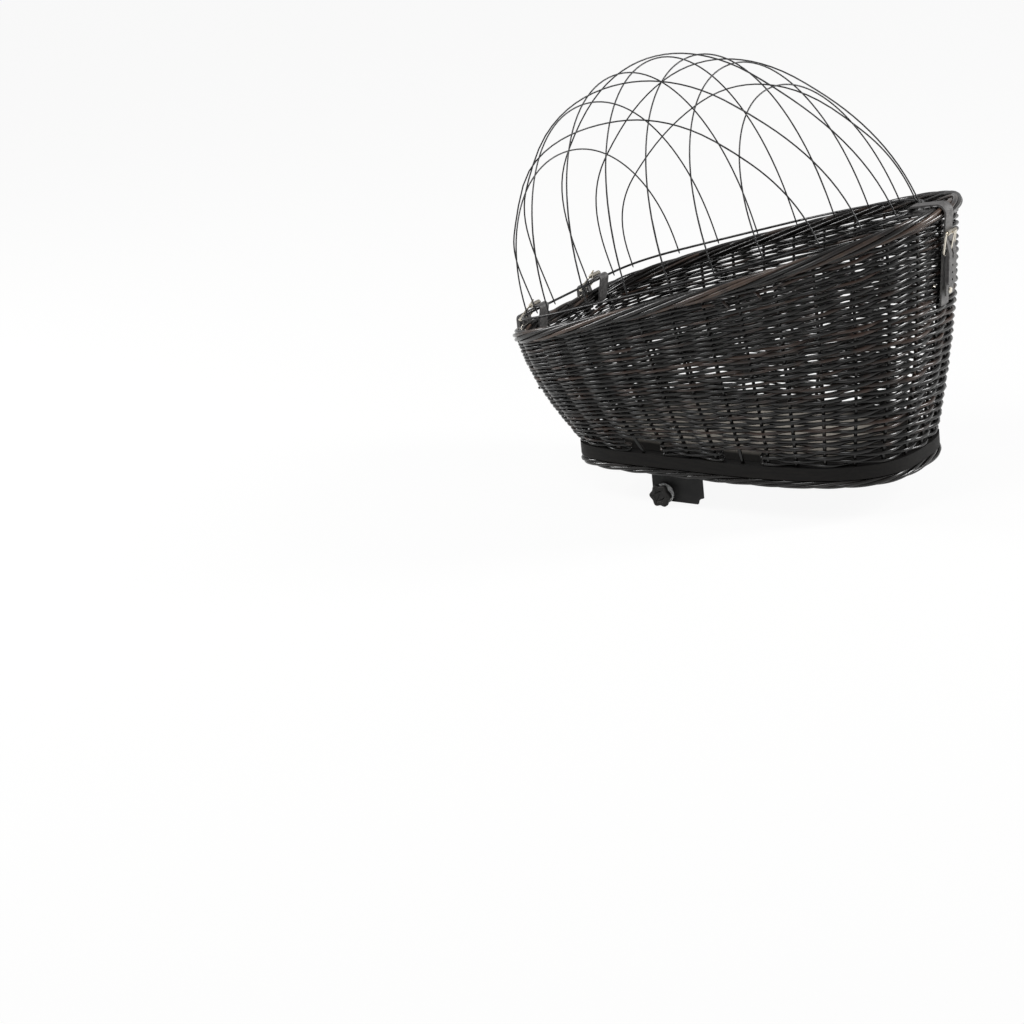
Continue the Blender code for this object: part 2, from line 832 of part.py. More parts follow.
rivet_height = closure_bar_height - rivet_drop
wall_lean = math.atan2(
    wall_face_x(rivet_height + strap_width) - wall_face_x(rivet_height - strap_width),
    2 * strap_width,
)
rivet_axis = Vector((math.cos(wall_lean), 0, -math.sin(wall_lean)))
rivet_place = Vector((wall_face_x(rivet_height), 0, rivet_height))
plies = fold_out + strap_half
outside = plies + seat_gap
inside = wall_face_x(rivet_height, wall_thickness) - rivet_place.x - 2 * seat_gap
profile = (
    (0, inside - rivet_head_height / 2),
    (rivet_head_radius, inside - rivet_head_height / 2),
    (rivet_head_radius, inside),
    (rivet_shank_radius, inside),
    (rivet_shank_radius, outside),
    (rivet_head_radius, outside),
    (0.75 * rivet_head_radius, outside + 0.7 * rivet_head_height),
    (0, outside + rivet_head_height),
)
lathed("closure_rivet", profile, rivet_place, rivet_axis, "nickel", 16)
drill = (rivet_place + rivet_axis * 2 * inside, rivet_place + rivet_axis * 2 * outside)
for target in (wicker_wall, anchor_strap):
    name = f"{target.name}_rivet_cutter"
    cut(target, rod_cutter(name, *drill, rivet_shank_radius + rivet_play, 12))

# Carrier brackets: an angle of sheet steel on each side, screwed up into the board


def plate(name, corners, radius, across, thickness, finish, parent=None):
    """Flat plate square to y, with rounded corners: corners are places in x and z, in order."""
    outline = []
    for index, (x, z) in enumerate(corners):
        here = Vector((x, z))
        before = (Vector(corners[index - 1]) - here).normalized()
        after = (Vector(corners[(index + 1) % len(corners)]) - here).normalized()
        middle = here + (before + after) * radius
        for step in range(4):
            share = math.pi / 2 * step / 3
            offset = after * math.sin(share) + before * math.cos(share)
            outline.append(middle - (before + after - offset) * radius)
    shape = bmesh.new()
    places = [(point.x, across, point.y) for point in outline]
    extruded(shape, places, (0, thickness, 0))
    return placed(name, mesh_of(shape, name), finish, parent)


flange_top = board_bottom - seat_gap
flange_bottom = flange_top - bracket_thickness
screw_y = bracket_y - bracket_thickness - (bracket_flange_width - bracket_thickness) / 2
jaw_inner = bracket_y - bracket_thickness - clamp_rail_gap - jaw_thickness
nut_inner = jaw_inner - seat_gap - nut_height
clamp_bore = clamp_screw_radius + clamp_screw_play

for side_name, side in (("left", -1), ("right", 1)):
    corners = (
        (bracket_front, flange_top - bracket_thickness / 2),
        (bracket_back, flange_top - bracket_thickness / 2),
        (bracket_back, -bracket_drop),
        (bracket_front, -bracket_drop),
    )
    outer = side * bracket_y
    bracket = plate(
        f"bracket_{side_name}",
        corners,
        bracket_corner,
        outer,
        -side * bracket_thickness,
        "steel",
    )
    edges = (side * (bracket_y - bracket_flange_width), side * (bracket_y - bracket_thickness / 2))
    low = (bracket_flange_front, min(edges), flange_bottom)
    high = (bracket_back - bracket_corner, max(edges), flange_top)
    flange = box_cutter(f"flange_{side_name}", low, high)
    flange.hide_render = True
    flange.display_type = "WIRE"
    step = bracket.modifiers.new("flange", "BOOLEAN")
    step.operation = "UNION"
    step.solver = "EXACT"
    step.object = flange

    for number, screw_x in enumerate(bracket_screw_xs):
        name = f"bracket_screw_{side_name}_{number + 1}"
        under = flange_bottom - seat_gap
        profile = (
            (0, -bracket_screw_head_height),
            (bracket_screw_head_radius * 0.8, -bracket_screw_head_height),
            (bracket_screw_head_radius, 0),
            (bracket_screw_shank_radius, 0),
            (bracket_screw_shank_radius, bracket_screw_length),
            (0, bracket_screw_length + bracket_screw_shank_radius),
        )
        place = (screw_x, side * screw_y, under)
        lathed(name, profile, place, (0, 0, 1), "steel", 12)
        drill_top = under + bracket_screw_length + bracket_screw_shank_radius + seat_gap
        start = (screw_x, side * screw_y, under - cut_overrun)
        end = (screw_x, side * screw_y, drill_top)
        hole = bracket_screw_shank_radius + bracket_screw_play
        for target in (bracket, base_board):
            cutter = rod_cutter(f"{name}_{target.name}_cutter", start, end, hole, 12)
            cut(target, cutter)

    jaw_corners = (
        (clamp_x - jaw_length / 2, -jaw_top),
        (clamp_x + jaw_length / 2, -jaw_top),
        (clamp_x + jaw_length / 2, -clamp_drop - jaw_below_screw),
        (clamp_x - jaw_length / 2, -clamp_drop - jaw_below_screw),
    )
    jaw_place = pivot(f"jaw_{side_name}_slide", (clamp_x, side * jaw_inner, -clamp_drop))
    jaw = plate(
        f"clamp_jaw_{side_name}",
        jaw_corners,
        jaw_corner,
        side * jaw_inner,
        side * jaw_thickness,
        "steel",
        jaw_place,
    )
    start = Vector((clamp_x, 0, -clamp_drop))
    end = Vector((clamp_x, side * (bracket_y + cut_overrun), -clamp_drop))
    for target in (bracket, jaw):
        cut(target, rod_cutter(f"{target.name}_screw_cutter", start, end, clamp_bore))

    knob_pivot = pivot(f"knob_{side_name}_pivot", (clamp_x, outer, -clamp_drop))
    knob_inner = bracket_y + washer_thickness + 2 * seat_gap
    washer_bore = clamp_bore / math.cos(math.pi / 20)
    profile = (
        (washer_bore, seat_gap),
        (washer_radius, seat_gap),
        (washer_radius, seat_gap + washer_thickness),
        (washer_bore, seat_gap + washer_thickness),
    )
    along = (0, side, 0)
    lathed(f"clamp_washer_{side_name}", profile, knob_pivot.location, along, "nickel", 20)

    nut_bore = clamp_bore / math.cos(math.pi / 6)
    profile = (
        (nut_bore, nut_inner - bracket_y),
        (nut_radius, nut_inner - bracket_y),
        (nut_radius, nut_inner + nut_height - bracket_y),
        (nut_bore, nut_inner + nut_height - bracket_y),
    )
    name = f"clamp_nut_{side_name}"
    lathed(name, profile, knob_pivot.location, along, "steel", 6, jaw_place)

    shape = bmesh.new()
    start = (clamp_x, side * (nut_inner - clamp_screw_play), -clamp_drop)
    end = (clamp_x, side * (knob_inner + knob_bore_depth - seat_gap), -clamp_drop)
    rod_between(shape, start, end, clamp_screw_radius, 16)
    name = f"clamp_screw_{side_name}"
    placed(name, mesh_of(shape, name), "steel", knob_pivot)

    shape = bmesh.new()
    outline = []
    for step in range(6 * knob_lobes):
        angle = math.tau * step / (6 * knob_lobes)
        radius = knob_radius - knob_lobe_depth * (1 - math.cos(knob_lobes * angle)) / 2
        x = clamp_x + radius * math.cos(angle)
        z = -clamp_drop + radius * math.sin(angle)
        outline.append((x, side * knob_inner, z))
    extruded(shape, outline, (0, side * knob_height, 0))
    name = f"star_knob_{side_name}"
    knob = placed(name, mesh_of(shape, name), "plastic", knob_pivot)
    edge = knob.modifiers.new("edge", "BEVEL")
    edge.width = knob_edge
    edge.segments = 2
    edge.limit_method = "ANGLE"
    edge.angle_limit = math.radians(60)
    start = (clamp_x, side * (knob_inner - cut_overrun), -clamp_drop)
    end = (clamp_x, side * (knob_inner + knob_bore_depth), -clamp_drop)
    cut(knob, rod_cutter(f"{name}_bore_cutter", start, end, clamp_bore))
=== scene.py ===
"""Looks of a dog's bicycle basket: black willow tub, wire dome, leather straps and clamp brackets.

Metres, X to the back, Y to the right side, Z up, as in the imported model.
"""

import math
import random
from collections import namedtuple

import bmesh
import bpy
from mathutils import Matrix, Vector, noise


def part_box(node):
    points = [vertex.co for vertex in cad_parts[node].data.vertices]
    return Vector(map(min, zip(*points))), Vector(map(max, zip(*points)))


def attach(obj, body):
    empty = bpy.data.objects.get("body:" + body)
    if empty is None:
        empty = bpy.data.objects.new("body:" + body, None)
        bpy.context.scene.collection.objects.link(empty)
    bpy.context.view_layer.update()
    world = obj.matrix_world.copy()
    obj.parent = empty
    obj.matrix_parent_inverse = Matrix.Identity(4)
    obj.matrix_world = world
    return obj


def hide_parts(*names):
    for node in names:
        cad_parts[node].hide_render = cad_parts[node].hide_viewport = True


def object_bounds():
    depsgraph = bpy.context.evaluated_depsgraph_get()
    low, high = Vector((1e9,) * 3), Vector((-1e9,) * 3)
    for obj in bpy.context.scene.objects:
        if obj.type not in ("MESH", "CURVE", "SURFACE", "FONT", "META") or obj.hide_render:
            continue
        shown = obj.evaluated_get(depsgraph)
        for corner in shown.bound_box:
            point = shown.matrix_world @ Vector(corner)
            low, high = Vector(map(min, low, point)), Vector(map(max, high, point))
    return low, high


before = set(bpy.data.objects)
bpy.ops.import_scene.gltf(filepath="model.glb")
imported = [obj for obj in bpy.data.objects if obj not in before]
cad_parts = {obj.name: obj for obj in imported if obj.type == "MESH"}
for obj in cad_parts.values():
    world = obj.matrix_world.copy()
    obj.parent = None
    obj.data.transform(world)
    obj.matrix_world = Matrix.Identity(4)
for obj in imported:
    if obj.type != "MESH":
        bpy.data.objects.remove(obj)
cad_low, cad_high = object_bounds()

# Camera: it stands off the left back corner of the basket and looks down on it a little, through a long
# lens. It is rolled a few degrees to the side.

camera_place = Vector((1.9034, -3.1383, 1.1986))
camera_azimuth = math.radians(36.179)
camera_elevation = math.radians(18.767)
camera_roll = math.radians(-6.005)
camera_lens = 111.8
camera_sensor = 36
camera_far = 50

back = Vector(
    (
        math.sin(camera_azimuth) * math.cos(camera_elevation),
        -math.cos(camera_azimuth) * math.cos(camera_elevation),
        math.sin(camera_elevation),
    )
)
level = Vector((math.cos(camera_azimuth), math.sin(camera_azimuth), 0))
upright = back.cross(level)
across = level * math.cos(camera_roll) + upright * math.sin(camera_roll)
upwards = upright * math.cos(camera_roll) - level * math.sin(camera_roll)
camera_data = bpy.data.cameras.new("camera")
camera_data.lens = camera_lens
camera_data.sensor_width = camera_sensor
camera_data.clip_end = camera_far
camera = bpy.data.objects.new("camera", camera_data)
bpy.context.scene.collection.objects.link(camera)
camera_turned = Matrix((across, upwards, back)).transposed().to_4x4()
camera.matrix_world = Matrix.Translation(camera_place) @ camera_turned
bpy.context.scene.camera = camera
bpy.context.scene.view_settings.view_transform = "Standard"

# Floor and light: a plain pale floor under a soft white studio. One lamp stands at the front of the
# basket, one behind its rounded back, and both glint on the rods that turn away. A third fills in.

floor_reach = 6
floor_drop = 0.0005
floor_code = "f4f4f2"
floor_glow = 0.93
mirrored_white = 0.3
sky_level = 0.16
plain_white = (1, 1, 1, 1)


def colour(code):
    """Linear colour of an sRGB hex code such as 3a2f28."""
    parts = [int(code[at : at + 2], 16) / 255 for at in (0, 2, 4)]
    return [part / 12.92 if part <= 0.04045 else ((part + 0.055) / 1.055) ** 2.4 for part in parts] + [1]


def add_node(tree, kind, inputs=None, **settings):
    """New node: inputs maps a socket's name or number to a value, or to an output that is linked to it."""
    node = tree.nodes.new(kind)
    for name, value in settings.items():
        setattr(node, name, value)
    for key, value in (inputs or {}).items():
        if isinstance(value, bpy.types.NodeSocket):
            tree.links.new(value, node.inputs[key])
        else:
            node.inputs[key].default_value = value
    return node


def new_material(name):
    """Empty material with its node tree and the socket that takes its shader."""
    made = bpy.data.materials.new(name)
    made.use_nodes = True
    made.node_tree.nodes.clear()
    output = made.node_tree.nodes.new("ShaderNodeOutputMaterial")
    return made, made.node_tree, output.inputs["Surface"]


def white_share(tree, *rays):
    """Share of plain white that a ray meets: all for the kinds named, and some for a mirrored one."""
    seen = add_node(tree, "ShaderNodeLightPath")
    shine = {0: seen.outputs["Is Glossy Ray"], 1: mirrored_white}
    share = add_node(tree, "ShaderNodeMath", shine, operation="MULTIPLY")
    for ray in rays:
        larger = {0: seen.outputs[ray], 1: share.outputs[0]}
        share = add_node(tree, "ShaderNodeMath", larger, operation="MAXIMUM")
    return share.outputs[0]


floor_shape = bmesh.new()
bmesh.ops.create_grid(floor_shape, x_segments=1, y_segments=1, size=floor_reach)
bmesh.ops.translate(floor_shape, vec=(0, 0, cad_low.z - floor_drop), verts=floor_shape.verts)
floor_data = bpy.data.meshes.new("floor")
floor_shape.to_mesh(floor_data)
floor_shape.free()
floor = bpy.data.objects.new("floor", floor_data)
bpy.context.scene.collection.objects.link(floor)
paper, tree, surface = new_material("floor_paper")
matte = add_node(tree, "ShaderNodeBsdfDiffuse", {"Color": colour(floor_code)})
glow = add_node(tree, "ShaderNodeEmission", {"Color": plain_white, "Strength": 1})
bright = {0: white_share(tree, "Is Camera Ray"), 1: floor_glow}
share = add_node(tree, "ShaderNodeMath", bright, operation="MULTIPLY")
both = add_node(tree, "ShaderNodeMixShader", {0: share.outputs[0], 1: matte.outputs[0], 2: glow.outputs[0]})
tree.links.new(both.outputs[0], surface)
floor_data.materials.append(paper)

world = bpy.data.worlds.new("studio")
world.use_nodes = True
tree = world.node_tree
tree.nodes.clear()
share = white_share(tree, "Is Camera Ray", "Is Transmission Ray")
white = add_node(tree, "ShaderNodeBackground", {"Color": plain_white, "Strength": 1})
ambient = add_node(tree, "ShaderNodeBackground", {"Color": plain_white, "Strength": sky_level})
both = add_node(tree, "ShaderNodeMixShader", {0: share, 1: ambient.outputs[0], 2: white.outputs[0]})
add_node(tree, "ShaderNodeOutputWorld", {"Surface": both.outputs[0]})
bpy.context.scene.world = world

Lamp = namedtuple("Lamp", "name place aim width height watts")
lamps = (
    Lamp("left_softbox", (-2.0, -0.7, 1.3), (-0.1, 0, 0.2), 0.6, 0.9, 34),
    Lamp("right_softbox", (1.9, 1.1, 1.3), (0.1, 0, 0.15), 0.6, 1.1, 56),
    Lamp("top_softbox", (-0.2, -1.3, 2.0), (0, 0, 0.1), 0.8, 0.8, 17),
)
for lamp in lamps:
    data = bpy.data.lights.new(lamp.name, "AREA")
    data.shape = "RECTANGLE"
    data.size = lamp.width
    data.size_y = lamp.height
    data.energy = lamp.watts
    lamp_object = bpy.data.objects.new(lamp.name, data)
    bpy.context.scene.collection.objects.link(lamp_object)
    lamp_object.location = lamp.place
    heading = Vector(lamp.aim) - Vector(lamp.place)
    lamp_object.rotation_euler = heading.to_track_quat("-Z", "Y").to_euler()

# Base board: plywood, sawn to shape, with its arrises broken, as a sander leaves them. Its edge and its
# underside are stained matte black-brown, the floor inside is left bare, and a border of it is painted
# shade.

board_edge = 0.0012
board_code_dark = "0b0a0a"
board_code_light = "181614"
bare_code_dark = "98928a"
bare_code_light = "b4aea4"
board_grain = 0.004
board_stretch = (0.12, 1, 1.6)
board_skin = 0.0001
# Painted shade from the wall: around this middle and reach, the bare top darkens to the edge's tone.
painted_shade_reach = ((-0.024, 0.175), (0, 0.088))
shade_squareness = 4
shade_raggedness = 0.3
shade_start, shade_full = 0.4, 1.25
matte_specular = 0.2
merged_within = 1e-6
flat_within = math.radians(1)
sharp_above = math.radians(35)


def finish_piece(piece, body, slot, *nodes):
    """Puts a new piece on its body and hides the nodes that it stands for. Its slot is not used."""
    bpy.context.scene.collection.objects.link(piece)
    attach(piece, body)
    if nodes:
        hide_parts(*nodes)
    return piece


def refined(node, name, body, slot, material, edge, flat_angle=sharp_above, levels=0):
    """Copy of a frame node with its points merged and its arrises rounded by edge, or all of it rounded."""
    shape = bmesh.new()
    shape.from_mesh(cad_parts[node].data)
    bmesh.ops.remove_doubles(shape, verts=shape.verts, dist=merged_within)
    bmesh.ops.dissolve_limit(shape, angle_limit=flat_within, verts=shape.verts, edges=shape.edges)
    data = bpy.data.meshes.new(name)
    shape.to_mesh(data)
    shape.free()
    data.materials.append(material)
    data.shade_smooth()
    data.set_sharp_from_angle(angle=flat_angle)
    piece = bpy.data.objects.new(name, data)
    if edge:
        rounding = piece.modifiers.new("arris", "BEVEL")
        rounding.width = edge
        rounding.segments = 2
        rounding.limit_method = "ANGLE"
        rounding.angle_limit = flat_angle
        rounding.harden_normals = True
    if levels:
        rounding = piece.modifiers.new("round", "SUBSURF")
        rounding.levels = levels
        rounding.render_levels = levels
    return finish_piece(piece, body, slot, node)


def plywood(name, dark, light, roughness, painted_shade_from=None):
    """Sanded plywood with grain lines along the board. Past painted_shade_from it darkens to its edge's
    tone, as painted shade.
    """
    made, tree, surface = new_material(name)
    place = add_node(tree, "ShaderNodeTexCoord").outputs["Object"]
    stretched = add_node(tree, "ShaderNodeMapping", {"Vector": place, "Scale": board_stretch})
    grain = add_node(
        tree,
        "ShaderNodeTexNoise",
        {"Vector": stretched.outputs[0], "Scale": 1 / board_grain, "Detail": 5, "Roughness": 0.6},
    )
    tone = add_node(tree, "ShaderNodeValToRGB", {"Fac": grain.outputs["Fac"]})
    tone.color_ramp.elements[0].position = 0.35
    tone.color_ramp.elements[0].color = colour(dark)
    tone.color_ramp.elements[1].position = 0.72
    tone.color_ramp.elements[1].color = colour(light)
    relief = add_node(
        tree, "ShaderNodeBump", {"Strength": 0.25, "Distance": 0.0004, "Height": grain.outputs["Fac"]}
    )
    inputs = {"Base Color": tone.outputs["Color"], "Roughness": roughness, "Normal": relief.outputs[0]}
    inputs["Specular IOR Level"] = matte_specular
    if painted_shade_from:
        parts = add_node(tree, "ShaderNodeSeparateXYZ", {"Vector": place})
        shares = []
        for axis, (middle, reach) in enumerate(painted_shade_from):
            off = add_node(tree, "ShaderNodeMath", {0: parts.outputs[axis], 1: middle}, operation="SUBTRACT")
            share = add_node(tree, "ShaderNodeMath", {0: off.outputs[0], 1: reach}, operation="DIVIDE")
            size = add_node(tree, "ShaderNodeMath", {0: share.outputs[0]}, operation="ABSOLUTE")
            raised = {0: size.outputs[0], 1: shade_squareness}
            shares.append(add_node(tree, "ShaderNodeMath", raised, operation="POWER").outputs[0])
        both = add_node(tree, "ShaderNodeMath", {0: shares[0], 1: shares[1]}, operation="ADD")
        ragged = {0: grain.outputs["Fac"], 1: shade_raggedness, 2: both.outputs[0]}
        border = add_node(tree, "ShaderNodeMath", ragged, operation="MULTIPLY_ADD")
        mask = {"Value": border.outputs[0], "From Min": shade_start, "From Max": shade_full}
        # Painted shade: towards the wall, the bare top is darkened to the edge's tone.
        painted_shade = add_node(tree, "ShaderNodeMapRange", mask)
        tones = {0: painted_shade.outputs[0], 6: tone.outputs["Color"], 7: colour(board_code_light)}
        mixed = add_node(tree, "ShaderNodeMix", tones, data_type="RGBA")
        inputs["Base Color"] = mixed.outputs[2]
    shader = add_node(tree, "ShaderNodeBsdfPrincipled", inputs)
    tree.links.new(shader.outputs[0], surface)
    return made


stained_plywood = plywood("stained_plywood", board_code_dark, board_code_light, roughness=0.62)
bare_plywood_and_shade = plywood(
    "bare_birch_plywood_with_painted_shade", bare_code_dark, bare_code_light, roughness=0.7, painted_shade_from=painted_shade_reach
)
board = refined("base_board", "plywood_base", "basket", "wood", stained_plywood, board_edge)
board.data.materials.append(bare_plywood_and_shade)
board_low, board_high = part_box("base_board")
for face in board.data.polygons:
    if face.center.z > board_high.z - board_skin:
        face.material_index = 1

# Woven wall: upright willow stakes let into the board, and single rods worked in front of one and
# behind the next, row over row. The rods are buff willow dyed black and varnished, so they shine.

wall_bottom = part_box("wicker_wall")[0].z
rim_low, rim_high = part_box("rim_border")
rim_radius = 0.008
rim_tilt = math.radians(16.1)
rim_top_height = 0.2459
rim_middle_height = rim_top_height - rim_radius / math.cos(rim_tilt)

# An outline is two half eggs: the greater a half's power, the squarer its corners.
Plan = namedtuple("Plan", "front back half middle front_power back_power")
board_middle = -0.024
rim_middle = 0.030
board_plan = Plan(
    front=board_middle - board_low.x,
    back=board_high.x - board_middle,
    half=board_high.y,
    middle=board_middle,
    front_power=6.0,
    back_power=2.8,
)
rim_plan = Plan(
    front=rim_middle - rim_low.x - rim_radius,
    back=rim_high.x - rim_middle - rim_radius,
    half=rim_high.y - rim_radius,
    middle=rim_middle,
    front_power=4.2,
    back_power=2.0,
)
wall_outset = 0.0035
wall_barrel = 0.004
stake_count = 34
stake_radius = 0.0022
stake_seat = 0.001
stake_tuck = 0.4 * rim_radius
stake_steps = 14
stake_foot_share = 1.05
stake_taper = 0.2
rod_radius = 0.00245
slot_height = 0.0175
slot_top = wall_bottom + slot_height
slot_ends = ((-0.119, -0.072), (0.012, 0.065))
slot_side_share = 0.8
steps_per_stake = 6
table_steps = 48
table_fineness = 8


def grown(plan, amount):
    """The same outline with every reach longer by amount."""
    return plan._replace(front=plan.front + amount, back=plan.back + amount, half=plan.half + amount)


def plan_point(plan, turn):
    """Point of an egg-shaped outline: turn runs once round, from the back over the right side."""
    along, across = math.cos(turn), math.sin(turn)
    reach = plan.back if along > 0 else plan.front
    power = plan.back_power if along > 0 else plan.front_power
    x = plan.middle + math.copysign(reach * abs(along) ** (2 / power), along)
    y = math.copysign(plan.half * abs(across) ** (2 / power), across)
    return x, y


def rim_height(x):
    """Height of the middle of the rim border at x."""
    return rim_middle_height + math.tan(rim_tilt) * x


def even_turns(plan, count):
    """Turns that stand at even distances along the outline, the first and the last at the back."""
    fine = table_fineness * count
    points = [Vector(plan_point(plan, math.tau * step / fine)) for step in range(fine + 1)]
    lengths = [0]
    for before, after in zip(points, points[1:]):
        lengths.append(lengths[-1] + (after - before).length)
    turns, at = [], 0
    for number in range(count + 1):
        goal = lengths[-1] * number / count
        while at < fine - 1 and lengths[at + 1] < goal:
            at += 1
        share = (goal - lengths[at]) / (lengths[at + 1] - lengths[at])
        turns.append(math.tau * (at + share) / fine)
    return turns


foot_turns = even_turns(board_plan, stake_count * table_steps)
head_turns = even_turns(rim_plan, stake_count * table_steps)


def turn_at(turns, place):
    """Turn at a place counted in stakes, from the middle of the back over the right side."""
    at = place % stake_count * table_steps
    number = int(at)
    return turns[number] + (turns[number + 1] - turns[number]) * (at - number)


def wall_point(place, z, inwards):
    """Point of the wall at height z, a distance inwards of its outer face, and its height there."""
    foot_x, foot_y = plan_point(grown(board_plan, -inwards), turn_at(foot_turns, place))
    head_x, head_y = plan_point(grown(rim_plan, wall_outset - inwards), turn_at(head_turns, place))
    top = rim_height(head_x) - rim_radius / math.cos(rim_tilt)
    rise = (z - wall_bottom) / (top - wall_bottom)
    swell = 1 + 4 * wall_barrel * rise * (1 - rise) / board_plan.half
    x = (foot_x + (head_x - foot_x) * rise) * swell
    y = (foot_y + (head_y - foot_y) * rise) * swell
    return Vector((x, y, z)), top


def rods(name, runs, radius, material, resolution=2):
    """Mesh object of round rods: each run is a list of points, with a share of the radius for each."""
    data = bpy.data.curves.new(name, "CURVE")
    data.dimensions = "3D"
    data.bevel_depth = radius
    data.bevel_resolution = resolution
    data.use_fill_caps = True
    for run in runs:
        line = data.splines.new("POLY")
        line.points.add(len(run) - 1)
        for knot, (point, share) in zip(line.points, run):
            knot.co = (*point, 1)
            knot.radius = share
        line.use_smooth = True
    guide = bpy.data.objects.new(name + "_lines", data)
    bpy.context.scene.collection.objects.link(guide)
    bpy.context.view_layer.update()
    mesh = bpy.data.meshes.new_from_object(guide.evaluated_get(bpy.context.evaluated_depsgraph_get()))
    bpy.data.objects.remove(guide)
    bpy.data.curves.remove(data)
    mesh.name = name
    mesh.materials.clear()
    mesh.materials.append(material)
    mesh.shade_smooth()
    return bpy.data.objects.new(name, mesh)


willow_codes = ("050505", "0f0d0c", "34241c")
willow_fibre = 0.0009
willow_blotch = 0.0263
willow_blotch_strength = 0.9
noise_low, noise_high = 0.3, 0.7
willow_specular = 0.25
varnish_weight = 0.42
varnish_roughness = 0.13


def varnished_willow(name, codes, brown_share, roughness):
    """Dyed willow under clear varnish: each rod has a tone of its own, and fibres run along it."""
    made, tree, surface = new_material(name)
    rod = add_node(tree, "ShaderNodeNewGeometry").outputs["Random Per Island"]
    place = add_node(tree, "ShaderNodeTexCoord").outputs["Object"]
    blotch = add_node(tree, "ShaderNodeTexNoise", {"Vector": place, "Scale": 1 / willow_blotch, "Detail": 3})
    fine = {"Vector": place, "Scale": 1 / willow_fibre, "Detail": 2, "Roughness": 0.7}
    fibre = add_node(tree, "ShaderNodeTexNoise", fine)
    centred = {0: blotch.outputs["Fac"], 1: willow_blotch_strength, 2: -willow_blotch_strength / 2}
    mixed = add_node(tree, "ShaderNodeMath", centred, operation="MULTIPLY_ADD")
    level = add_node(tree, "ShaderNodeMath", {0: rod, 1: mixed.outputs[0]}, operation="ADD")
    tone = add_node(tree, "ShaderNodeValToRGB", {"Fac": level.outputs[0]})
    tone.color_ramp.elements[0].position = 0.1
    tone.color_ramp.elements[0].color = colour(codes[0])
    tone.color_ramp.elements[1].position = 1
    tone.color_ramp.elements[1].color = colour(codes[2])
    middle = tone.color_ramp.elements.new(1 - brown_share)
    middle.color = colour(codes[1])
    worn = {"Value": blotch.outputs["Fac"], "From Min": noise_low, "From Max": noise_high}
    worn |= {"To Min": roughness - 0.08, "To Max": roughness + 0.1}
    gloss = add_node(tree, "ShaderNodeMapRange", worn)
    ridged = {"Strength": 0.3, "Distance": 0.0003, "Height": fibre.outputs["Fac"]}
    relief = add_node(tree, "ShaderNodeBump", ridged)
    inputs = {"Base Color": tone.outputs["Color"], "Roughness": gloss.outputs[0]}
    inputs |= {"Specular IOR Level": willow_specular, "Normal": relief.outputs[0]}
    inputs |= {"Coat Weight": varnish_weight, "Coat Roughness": varnish_roughness}
    shader = add_node(tree, "ShaderNodeBsdfPrincipled", inputs)
    tree.links.new(shader.outputs[0], surface)
    return made


weave_willow = varnished_willow("varnished_willow_rods", willow_codes, brown_share=0.28, roughness=0.34)

# Where a hinge strap goes round the rim, the uppermost rows leave it room.
hinge_y = 0.068
notch_half = 0.0125
notch_height = 0.1425
notch_back = -0.2

weave_depth = 0.006
weave_swing = 0.0036
rim_tuck = 0.003

# Rows: a few pairs at the foot, groups of packed pairs with a full pair after each, and the head. The
# rods grow thinner upwards, so each row has a weight for its share of the height.
foot_pairs = 2
packed_groups = 6
packed_pairs = 2 * packed_groups
head_pairs = 10
lower_rows = 26
weight_foot = 1.1
weight_head = 0.82
reach_step = 0.25
shorter_by = (0.6, 1.8)
fade_start = 0.55
fade_length = 0.75

# Rods: each runs past 8 to 16 stakes and a little over the next, and no two are alike.
rod_stake_pairs = (4, 8)
rod_overlap = 0.3
row_thickness = (0.92, 1.06)
rod_thickness = (0.84, 1.12)
end_swing = 0.35
end_taper = 0.3
usual_pitch = 0.0048
thinnest, thickest = 0.72, 1.25
waver_height = 0.0017
waver_depth = 0.0008
waver_along = 0.9
waver_upwards = 0.7
waver_level = 2.3
waver_apart = Vector((9, 0, 0))
fewest_points = 3
draws = random.Random(7)


def slot_at(point):
    """The slot above the board that a point lies in, as its number and its side, or None."""
    if point.z > slot_top or abs(point.y) < board_plan.half * slot_side_share:
        return None
    for number, (start, end) in enumerate(slot_ends):
        if start < point.x < end:
            return number, point.y > 0
    return None


def notch_at(point):
    """Whether a point lies where a hinge strap goes round the rim."""
    beside = abs(abs(point.y) - hinge_y)
    return point.x < notch_back and point.z > notch_height and beside < notch_half


def wall_height(place):
    """Height of the wall at a place, from the board to the underside of the rim border's rods."""
    return wall_point(place, wall_bottom, weave_depth)[1] - wall_bottom + rim_tuck


def packed_reach(share):
    """Distance from the middle of the back, in stakes, at which the wall has lost a share of its drop."""
    drop = wall_height(0) - wall_height(stake_count / 2)
    place = 0
    while wall_height(place) > wall_height(0) - share * drop:
        place += reach_step
    return place


# Rows come in pairs, one of each lay. The wall gains its height at the back by packed pairs, which turn
# back before they reach the front, so the rows tilt more and more until they run along with the rim.

reaches = [packed_reach((pair + 0.5) / packed_pairs) for pair in range(packed_pairs)]
draws.shuffle(reaches)
row_reaches = [stake_count] * 2 * foot_pairs
for group in range(packed_groups):
    for reach in reaches[2 * group : 2 * group + 2]:
        row_reaches += [reach, reach - draws.uniform(*shorter_by)]
    row_reaches += [stake_count] * 2
row_reaches += [stake_count] * 2 * head_pairs
# A row turns back where its rods stand inside a stake, on odd stakes in even rows and the other way round.
for row, reach in enumerate(row_reaches):
    if reach < stake_count:
        row_reaches[row] = max(2 * round((reach + row - 1) / 2) + 1 - row % 2, 1 + row % 2)

row_last = len(row_reaches) - 1
row_weights = [weight_foot + (weight_head - weight_foot) * row / row_last for row in range(row_last + 1)]


def row_share(reach, place):
    """How much room a row takes at a place: 1 along it, falling to 0 round its end."""
    distance = min(place % stake_count, -place % stake_count)
    return min(max((reach + fade_start - distance) / fade_length, 0), 1)


